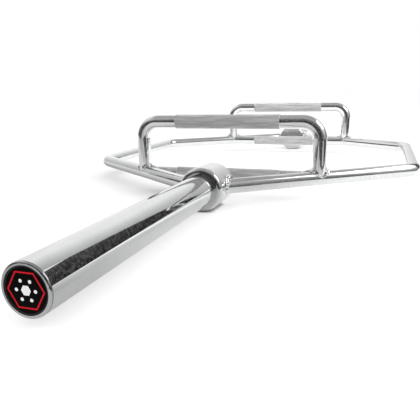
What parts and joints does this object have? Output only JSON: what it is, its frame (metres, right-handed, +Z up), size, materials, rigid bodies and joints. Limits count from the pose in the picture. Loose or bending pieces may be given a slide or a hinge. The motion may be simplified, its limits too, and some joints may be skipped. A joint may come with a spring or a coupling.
{
  "type": "hex trap bar",
  "caption": "Chromed hexagonal lifting frame with plate sleeves at both ends and low and raised knurled hand grips inside.",
  "frame": {"origin": "middle of the bar at the height of the lowest points of the hubs", "axes": "+X along the sleeves to the right end, +Y across the frame to the rear, +Z up towards the raised handles"},
  "size_m": [1.71, 0.6704, 0.1436],
  "materials": {
    "frame_chrome": "polished chrome plate",
    "hub_chrome": "polished chrome plate on turned steel",
    "sleeve_chrome": "polished chrome plate",
    "handle_chrome": "polished chrome plate",
    "grip_knurl": "satin chrome over a fine diamond knurl",
    "weld_chrome": "chrome plate over a rippled weld",
    "plug_plastic": "fine moulded grain",
    "disc_print": "printed film"
  },
  "bodies": {
    "root": {"front_frame_bar": "frame_chrome", "rear_frame_bar": "frame_chrome", "left_hub": "hub_chrome", "left_sleeve": "sleeve_chrome", "left_end_plug": "plug_plastic", "left_plug_disc": "disc_print", "left_raised_handle": "handle_chrome", "left_low_handle": "handle_chrome", "left_raised_grip": "grip_knurl", "left_low_grip": "grip_knurl", "left_hub_welds": "weld_chrome", "left_raised_welds": "weld_chrome", "left_low_welds": "weld_chrome", "right_hub": "hub_chrome", "right_sleeve": "sleeve_chrome", "right_end_plug": "plug_plastic", "right_plug_disc": "disc_print", "right_raised_handle": "handle_chrome", "right_low_handle": "handle_chrome", "right_raised_grip": "grip_knurl", "right_low_grip": "grip_knurl", "right_hub_welds": "weld_chrome", "right_raised_welds": "weld_chrome", "right_low_welds": "weld_chrome"}
  },
  "joints": []
}
